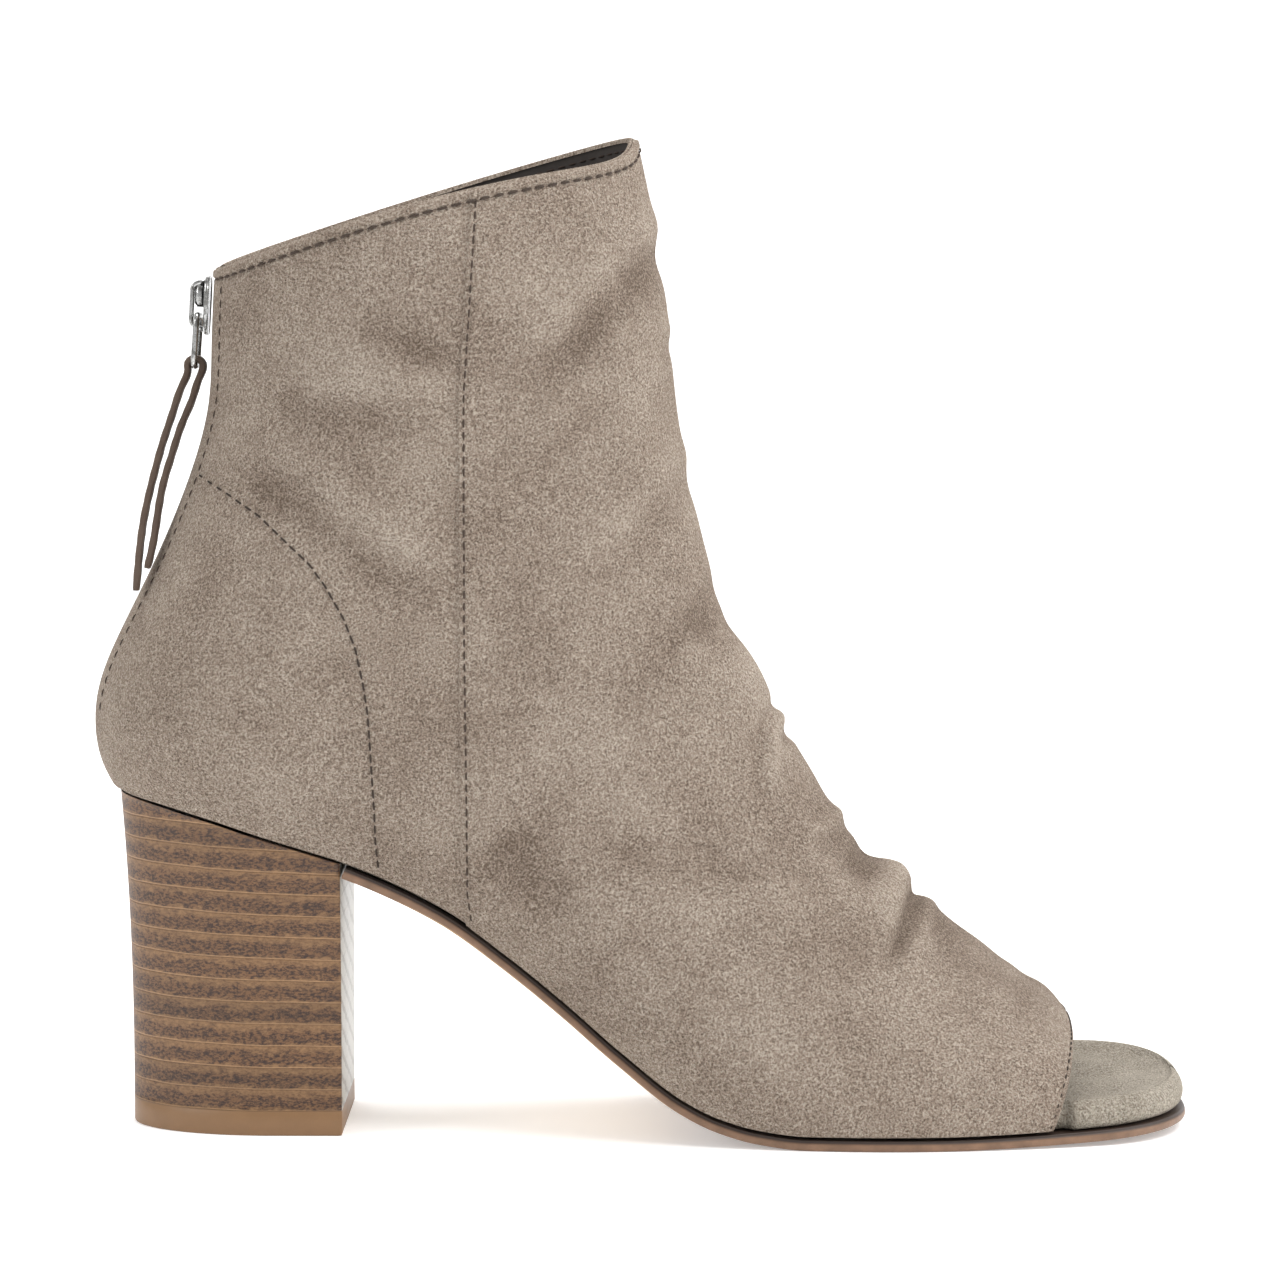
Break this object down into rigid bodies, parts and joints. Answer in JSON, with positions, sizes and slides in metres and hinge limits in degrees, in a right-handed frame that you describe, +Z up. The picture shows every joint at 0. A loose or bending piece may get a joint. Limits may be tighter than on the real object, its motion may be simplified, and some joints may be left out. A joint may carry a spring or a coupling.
{
  "type": "peep toe ankle boot",
  "caption": "Slouchy suede ankle boot with an open toe, a stacked block heel and a back zip with a ring and leather pull.",
  "frame": {"origin": "on the floor, in the middle of the heel's top piece", "axes": "+X from heel to toe, +Y towards the inner (medial) side of the foot, +Z up"},
  "size_m": [0.241, 0.0839, 0.2174],
  "materials": {
    "suede": "taupe suede with a short soft nap",
    "sole_leather": "brown smooth leather, satin edge",
    "heel_stack": "thin stacked brown layers, low sheen",
    "heel_tip": "smooth tan top piece",
    "zip_tape": "dark woven tape with a bright metal chain",
    "zip_metal": "bright silver plating",
    "pull_leather": "brown leather strip, matt"
  },
  "bodies": {
    "boot": {"upper": "suede", "footbed": "suede", "outsole": "sole_leather", "heel_block": "heel_stack", "heel_top_piece": "heel_tip", "zip_tape": "zip_tape", "zip_slider": "zip_metal"},
    "zip_pull": {"pull_ring": "zip_metal", "pull_loop": "pull_leather"}
  },
  "joints": [
    {"name": "zip_pull_swing", "type": "hinge", "parent": "boot", "child": "zip_pull", "pos_m": [-0.00837, 0, 0.17833], "axis": [0, 1, 0], "range_deg": [0, 140]}
  ]
}
